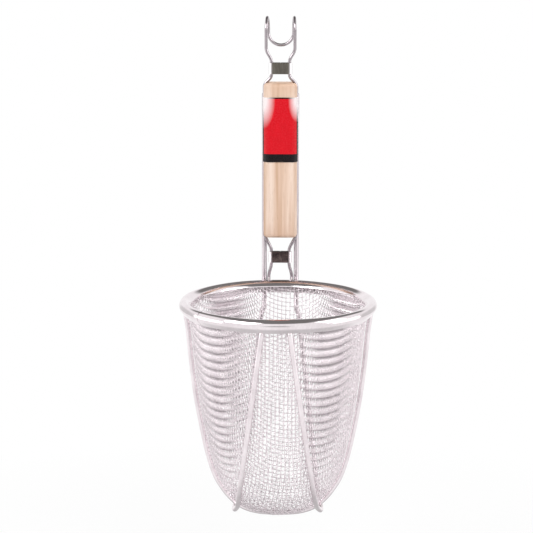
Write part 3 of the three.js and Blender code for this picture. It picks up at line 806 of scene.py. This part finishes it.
def hook_path():
    end_y = behind_rim(HOOK_END_X, HOOK_D)
    fold_z = HOOK_TOP_Z - HOOK_D / 2 - HOOK_FOLD_R
    upper = UPPER_CLIP + CLIP_H
    leg = rounded([
        (HOOK_END_X, end_y, -4.0), (HOOK_END_X, end_y, 3.5),
        (HOOK_CLIP_X, HOOK_Y, LOWER_CLIP - 2.2), (HOOK_CLIP_X, HOOK_Y, LOWER_CLIP + CLIP_H + 2.2),
        (HOOK_GRIP_X, HOOK_Y, GRIP_BOTTOM + 1), (HOOK_GRIP_X, HOOK_Y, GRIP_TOP - 1),
        (HOOK_CLIP_X, HOOK_Y, UPPER_CLIP - 2.2), (HOOK_CLIP_X, HOOK_Y, upper + 2.2),
        (HOOK_TOP_X, HOOK_Y, upper + 8.8), (HOOK_TOP_X, HOOK_Y, fold_z),
    ], 2.6, 8)
    a = np.linspace(math.pi, 0, 29)[1:]
    k = np.linspace(0, 1, 29)[1:]
    fold = np.stack([
        HOOK_TOP_X + (HOOK_LOOP_R - HOOK_TOP_X) * k,
        HOOK_Y + HOOK_FOLD_R * (1 + np.cos(a)),
        fold_z + HOOK_FOLD_R * np.sin(a)], 1)
    half = np.vstack([leg, fold])
    b = np.linspace(0, -math.pi, 33)
    loop = np.stack([
        HOOK_LOOP_R * np.cos(b),
        np.full(33, HOOK_Y + 2 * HOOK_FOLD_R),
        fold_z - HOOK_LOOP_DROP + HOOK_LOOP_R * np.sin(b)], 1)
    return np.vstack([half, loop, (half * (-1, 1, 1))[::-1]])


piece("hook_rod", *tube(hook_path(), HOOK_D / 2, dome=0.9), HOOK_STEEL_PAINTED_DARK, "steel_wire", ("hook_wire",))


# Weld beads: ribs under the rim, wires behind the rim, and where the ribs cross under the bowl
def welds():
    parts = []
    top_y = -math.sqrt(float(skin_radius(RIB_TOP_Z)) ** 2 - RIB_FRONT_X**2)
    for x, y in ((-RIB_FRONT_X, top_y), (RIB_FRONT_X, top_y)):
        out = unit(np.array((x, y)))
        parts.append(bead((x - out[0] * 0.5, y - out[1] * 0.5, RIB_TOP_Z), (0, 0, 1), 4.2, 2.2))
    side = float(skin_radius(RIB_TOP_Z))
    for sx in (-1, 1):
        parts.append(bead((sx * (side - 0.5), 0, RIB_TOP_Z), (0, 0, 1), 4.2, 2.2))
        rim_r = RIM_R - 0.1
        for x, z, size in ((FRAME_X, -3.0, 1.1), (HOOK_END_X, -1.4, 0.9)):
            parts.append(bead((sx * x, math.sqrt(rim_r**2 - x * x) + 0.25, z), (0, 0, 1), 5.0, size))
        run = left_path if sx < 0 else right_path
        low = run[run[:, 2] < -100]
        spot = low[np.argmin(np.abs(low[:, 1]))]
        near = across[np.argmin(np.linalg.norm(across - spot, axis=1))]
        parts.append(bead((spot + near) / 2 + (0, 1.4, 0), (1, 0, 0.2), 4.6, 0.95))
        parts.append(bead((spot + near) / 2 - (0, 1.4, 0), (1, 0, 0.2), 4.6, 0.95))
    piece("weld_beads", *joined(parts), WELD_STEEL, "steel_wire")


welds()


# Sheet clips squeezed round both runs of the hook wire, closed by a seam at the back
def clip(name, z, node, material):
    half, seam = CLIP_SHEET / 2, CLIP_SEAM / 2
    hole = HOOK_D / 2 + GAP
    hx, hy = HOOK_CLIP_X + hole + half, hole + half
    flat = hx - hy
    front = np.linspace(-flat, flat, 15)
    arc = np.linspace(-math.pi / 2, math.pi / 2, 13)[1:-1]
    back = np.linspace(flat, seam, 8)
    squeeze = CLIP_SQUEEZE * (1 - (front / flat) ** 2)
    path = [(-x, hy) for x in back[::-1]]
    path += [(-flat - hy * math.cos(a), hy * math.sin(-a)) for a in arc]
    path += [(x, -hy + s) for x, s in zip(front, squeeze)]
    path += [(flat + hy * math.cos(a), hy * math.sin(a)) for a in arc]
    path += [(x, hy) for x in back]
    path = np.array(path)
    t = tangents(path)
    out = np.stack([t[:, 1], -t[:, 0]], 1)
    soft, top = 0.16, z + CLIP_H
    strip = np.array([
        (-half + soft, z), (-half, z + soft), (-half, top - soft), (-half + soft, top),
        (half - soft, top), (half, top - soft), (half, z + CLIP_H / 2), (half, z + soft),
        (half - soft, z),
    ])
    verts, faces = carried(path + (0, HOOK_Y), out, strip)
    piece(name, verts, faces, material, "clip_steel", (node,), sharp=35)


# Both clips take steel colours darkened as painted reflection, with painted highlight on their ends
clip("clip_low", LOWER_CLIP, "lower_clip", CLIP_STEEL_LOW_PAINTED_DARK)
clip("clip_high", UPPER_CLIP, "upper_clip", CLIP_STEEL_HIGH_PAINTED_DARK)


# Wooden grip with a groove down each side for the wires and eased ends

def grip_ring(inset, floor):
    hx, hy = GRIP_W / 2 - inset, GRIP_DEPTH / 2 - inset
    r = max(GRIP_CORNER - inset, 0.5)
    quarter = np.linspace(0, math.pi / 2, 9)
    floor = min(floor, hx - 0.1)
    g = FRAME_Y + RIB_D / 2 + GAP - GRIP_Y
    lip = min(0.35, (hx - floor) / 2)
    groove = [(hx, g + lip), (hx - lip * 0.3, g + lip * 0.3), (hx - lip, g)]
    groove += [(floor, g - 0.02), (floor, g - 0.5), (floor, 0.0)]
    right = [(hx - r + r * math.cos(a), hy - r + r * math.sin(a)) for a in quarter[::-1]] + groove
    right += [(x, -y) for x, y in right[::-1][1:]]
    left = [(-x, -y) for x, y in right]
    return np.array(right + left)


def grip():
    ease = 2.8
    a = np.linspace(0, math.pi / 2, 8)
    near = [(ease * (1 - math.sin(t)), ease * (1 - math.cos(t))) for t in a]
    stations = [(GRIP_BOTTOM + d, i) for i, d in near]
    stations += [(z, 0.0) for z in np.linspace(GRIP_BOTTOM + 4.5, GRIP_TOP - 4.5, 24)]
    stations += [(GRIP_TOP - d, i) for i, d in near[::-1]]
    rings = []
    for z, inset in stations:
        from_end = min(z - GRIP_BOTTOM, GRIP_TOP - z)
        floor = GROOVE_X - GROOVE_FLARE * float(smoothstep((GROOVE_FLARE_L - from_end) / 2.0))
        plan = grip_ring(inset, floor)
        rings.append(np.column_stack([plan[:, 0], plan[:, 1] + GRIP_Y, np.full(len(plan), z)]))
    m = len(rings[0])
    faces = [f[::-1] for f in ring_faces(len(rings), m).tolist()]
    faces.append(list(range(m)))
    faces.append(list(range((len(rings) - 1) * m, len(rings) * m))[::-1])
    grain = wood("pale_wood_grain")
    piece("grip_wood", np.vstack(rings), faces, grain, "pale_wood", ("handle_grip",), sharp=38)


grip()


# Thin film wrapped round the front of the grip
def label():
    high = GRIP_TOP - LABEL_DROP
    low = high - LABEL_H
    hx, hy, r = GRIP_W / 2, GRIP_DEPTH / 2, GRIP_CORNER
    quarter = np.linspace(0, math.pi / 2, 13)
    side = [(hx - r + r * math.sin(a), -hy + r - r * math.cos(a)) for a in quarter]
    flat = [(x, -hy) for x in np.linspace(-hx + r, hx - r, 13)[1:-1]]
    plan = [(-x, y) for x, y in side[::-1]] + flat + side
    plan = np.array([p for p in plan if p[1] < LABEL_WRAP_Y])
    t = tangents(plan)
    out = np.stack([t[:, 1], -t[:, 0]], 1)
    face, eased, back = GAP + LABEL_T, GAP + 0.16, 0.04
    between = np.linspace(low + 0.4, high - 0.4, 15)
    heights = np.concatenate([[low + 0.12], between, [high - 0.12]])
    strip = [(back, low), (back, high), (eased, high)]
    strip += [(face, z) for z in heights[::-1]] + [(eased, low)]
    verts, faces = carried(plan + (0, GRIP_Y), out, np.array(strip))
    half = float(np.abs(verts[:, 0]).max()) / 1000.0
    printed = film("label_print", half, (low + OFFSET[2]) / 1000.0, (high + OFFSET[2]) / 1000.0)
    piece("label_wrap", verts, faces, printed, "label_film", ("handle_label",), sharp=35)


label()


# Stage: round pale floor under the hanging strainer, white surround, soft lamps

STAGE_Y = -0.08
FLOOR_Z = -0.364 - 0.12
FLOOR_R = 1.25


# The floor is lit from above, glows towards its edge to run into the surround, and is seen in the
# metal as plain white with a shade under the strainer.
def floor():
    rings, sides = 14, 96
    verts = [(0.0, STAGE_Y, FLOOR_Z)]
    for k in range(1, rings + 1):
        r = FLOOR_R * k / rings
        for turn in (2 * math.pi * s / sides for s in range(sides)):
            verts.append((r * math.cos(turn), STAGE_Y + r * math.sin(turn), FLOOR_Z))
    faces = [(0, 1 + s, 1 + (s + 1) % sides) for s in range(sides)]
    for k in range(rings - 1):
        a, b = 1 + k * sides, 1 + (k + 1) * sides
        faces += [(a + s, b + s, b + (s + 1) % sides, a + (s + 1) % sides) for s in range(sides)]
    mesh = bpy.data.meshes.new("stage_floor")
    mesh.from_pydata(verts, [], faces)
    g = Graph(bpy.data.materials.new("stage_floor"))
    g.tree.nodes.remove(g.shader)
    matte = g.add("ShaderNodeBsdfDiffuse")
    matte.inputs["Color"].default_value = (0.88, 0.88, 0.88, 1)
    glow = g.add("ShaderNodeEmission")
    path = g.add("ShaderNodeLightPath").outputs
    mirrored = path["Is Glossy Ray"]
    seen = g.math("MAXIMUM", path["Is Camera Ray"], path["Is Transmission Ray"])
    spot = g.add("ShaderNodeTexCoord").outputs["Object"]
    away = g.measure("DISTANCE", spot, (0.0, STAGE_Y, FLOOR_Z))
    share = g.math("MULTIPLY", seen, g.span(away, 0.2, 0.6, 0.55, 1.0))
    share = g.math("MAXIMUM", share, mirrored)
    under = g.measure("DISTANCE", spot, (0.0, 0.02, FLOOR_Z))
    shade = g.math("MULTIPLY", mirrored, g.span(under, 0.12, 0.30, 0.44, 0.0))
    g.link(g.math("SUBTRACT", 1.0, shade), glow.inputs["Strength"])
    both = g.add("ShaderNodeMixShader")
    for value, socket in zip((share, matte.outputs[0], glow.outputs[0]), both.inputs):
        g.link(value, socket)
    g.link(both.outputs[0], g.tree.nodes["Material Output"].inputs["Surface"])
    mesh.materials.append(g.owner)
    obj = bpy.data.objects.new("stage_floor", mesh)
    bpy.context.scene.collection.objects.link(obj)


# White all round, with darker patches that are seen only in the metal: a band overhead, one low in
# front and a weak one on each side
def surround():
    g = Graph(bpy.data.worlds.new("white_surround"))
    bpy.context.scene.world = g.owner
    g.tree.nodes.clear()
    path = g.add("ShaderNodeLightPath").outputs
    view = g.add("ShaderNodeTexCoord").outputs["Generated"]
    part = g.axes(view)
    aside = g.math("ABSOLUTE", part["X"])
    folded = g.add("ShaderNodeCombineXYZ")
    for value, socket in zip((aside, part["Y"], part["Z"]), folded.inputs):
        g.link(value, socket)

    def patch(source, aim, start, full, depth):
        return g.span(g.measure("DOT_PRODUCT", source, aim), start, full, 0.0, depth, "SMOOTHSTEP")

    middle_only = g.span(g.math("SUBTRACT", 1.0, aside), 0.38, 0.56, 0.0, 1.0, "SMOOTHSTEP")
    overhead = patch(view, (0.0, 0.148, 0.989), 0.53, 0.65, 0.84)
    low_front = patch(view, (0.0, -0.978, -0.21), 0.93, 0.985, 0.55)
    beside = patch(folded.outputs["Vector"], (0.77, 0.62, -0.15), 0.84, 0.95, 0.3)
    dark = g.math("MAXIMUM", g.math("MULTIPLY", overhead, middle_only), low_front)
    dark = g.math("MAXIMUM", dark, beside)
    dark = g.math("MULTIPLY", dark, path["Is Glossy Ray"])
    seen = g.math("MAXIMUM", path["Is Camera Ray"], path["Is Glossy Ray"])
    seen = g.math("MAXIMUM", seen, path["Is Transmission Ray"])
    sky = g.add("ShaderNodeBackground")
    g.link(g.mix(dark, (1.0, 1.0, 1.0, 1), (0.05, 0.048, 0.04, 1)), sky.inputs["Color"])
    g.link(g.span(seen, 0.0, 1.0, 0.45, 1.0), sky.inputs["Strength"])
    output = g.add("ShaderNodeOutputWorld")
    g.link(sky.outputs[0], output.inputs["Surface"])


def lamp(name, at, target, size, power, mirrored=True, lighting=True):
    data = bpy.data.lights.new(name, "AREA")
    data.shape = "RECTANGLE"
    data.size, data.size_y = size
    data.energy = power
    obj = bpy.data.objects.new(name, data)
    obj.visible_glossy = mirrored
    obj.visible_diffuse = lighting
    bpy.context.scene.collection.objects.link(obj)
    back = unit(np.subtract(at, target))
    right = unit(np.cross((0.0, 0.0, 1.0), back))
    up = np.cross(back, right)
    place = np.eye(4)
    place[:3, 0], place[:3, 1], place[:3, 2], place[:3, 3] = right, up, back, at
    obj.matrix_world = Matrix(place.tolist())


# The photo's view: from well away, a little to the right and above
CAMERA_TURN_DEG = 1.7
CAMERA_TILT_DEG = 11.4
CAMERA_AWAY = 1400.0
CAMERA_UP, CAMERA_RIGHT = 23.7, -8.4
FOCAL_PX, IMAGE_PX = 1912.0, 533.0
SENSOR = 36.0


def camera():
    turn, tilt = math.radians(CAMERA_TURN_DEG), math.radians(CAMERA_TILT_DEG)
    right = np.array((math.cos(turn), math.sin(turn), 0.0))
    ahead = np.array((-math.sin(turn), math.cos(turn), 0.0))
    look = math.cos(tilt) * ahead - math.sin(tilt) * np.array((0, 0, 1.0))
    up = np.cross(right, look)
    at = (-CAMERA_AWAY * look + CAMERA_UP * up + CAMERA_RIGHT * right + OFFSET) / 1000.0
    data = bpy.data.cameras.new("photo_camera")
    data.sensor_width = SENSOR
    data.lens = FOCAL_PX / IMAGE_PX * SENSOR
    data.clip_end = 50.0
    obj = bpy.data.objects.new("photo_camera", data)
    bpy.context.scene.collection.objects.link(obj)
    place = np.eye(4)
    place[:3, 0], place[:3, 1], place[:3, 2], place[:3, 3] = right, up, -look, at
    obj.matrix_world = Matrix(place.tolist())
    bpy.context.scene.camera = obj


MIDDLE = (0.0, STAGE_Y, -0.2)
BOWL = (0.0, STAGE_Y, -0.27)

floor()
surround()
lamp("soft_left", (-0.9, -0.9, 0.75), MIDDLE, (0.9, 0.9), 12.0)
lamp("soft_right", (1.15, -0.45, 0.45), MIDDLE, (0.7, 0.9), 6.0)
lamp("soft_top", (0.1, 0.6, 1.15), MIDDLE, (1.2, 0.8), 9.0, mirrored=False)
lamp("soft_front", (0.5, -1.7, 0.75), (0.0, STAGE_Y, -0.25), (0.9, 0.6), 8.0, mirrored=False)
lamp("sheen_left", (-1.1, -0.15, -0.25), BOWL, (0.9, 0.8), 1.9, lighting=False)
lamp("sheen_right", (1.1, -0.15, -0.25), BOWL, (0.9, 0.8), 1.5, lighting=False)
camera()
bpy.context.scene.view_settings.view_transform = "Standard"
